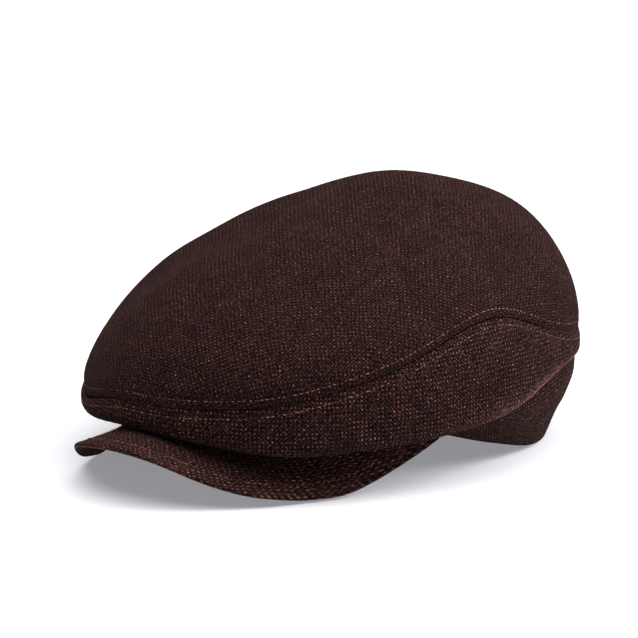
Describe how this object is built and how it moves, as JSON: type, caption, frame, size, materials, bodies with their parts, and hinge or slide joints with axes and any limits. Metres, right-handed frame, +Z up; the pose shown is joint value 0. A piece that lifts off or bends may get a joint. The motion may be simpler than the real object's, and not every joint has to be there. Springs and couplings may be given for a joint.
{
  "type": "winter flat cap",
  "caption": "Dark brown wool flat cap with a one-piece top, rolled side panel, head band and short arched peak.",
  "frame": {"origin": "on the surface it rests on, below the middle of its length and width", "axes": "+Y from the peak to the back of the head, +X to the wearer's left, +Z up"},
  "size_m": [0.224, 0.288, 0.128],
  "materials": {
    "wool_top": "matte",
    "wool_side": "matte",
    "wool_band": "matte",
    "wool_peak": "matte"
  },
  "bodies": {
    "root": {"top_panel": "wool_top", "side_panel": "wool_side", "head_band": "wool_band", "peak": "wool_peak"}
  },
  "joints": []
}
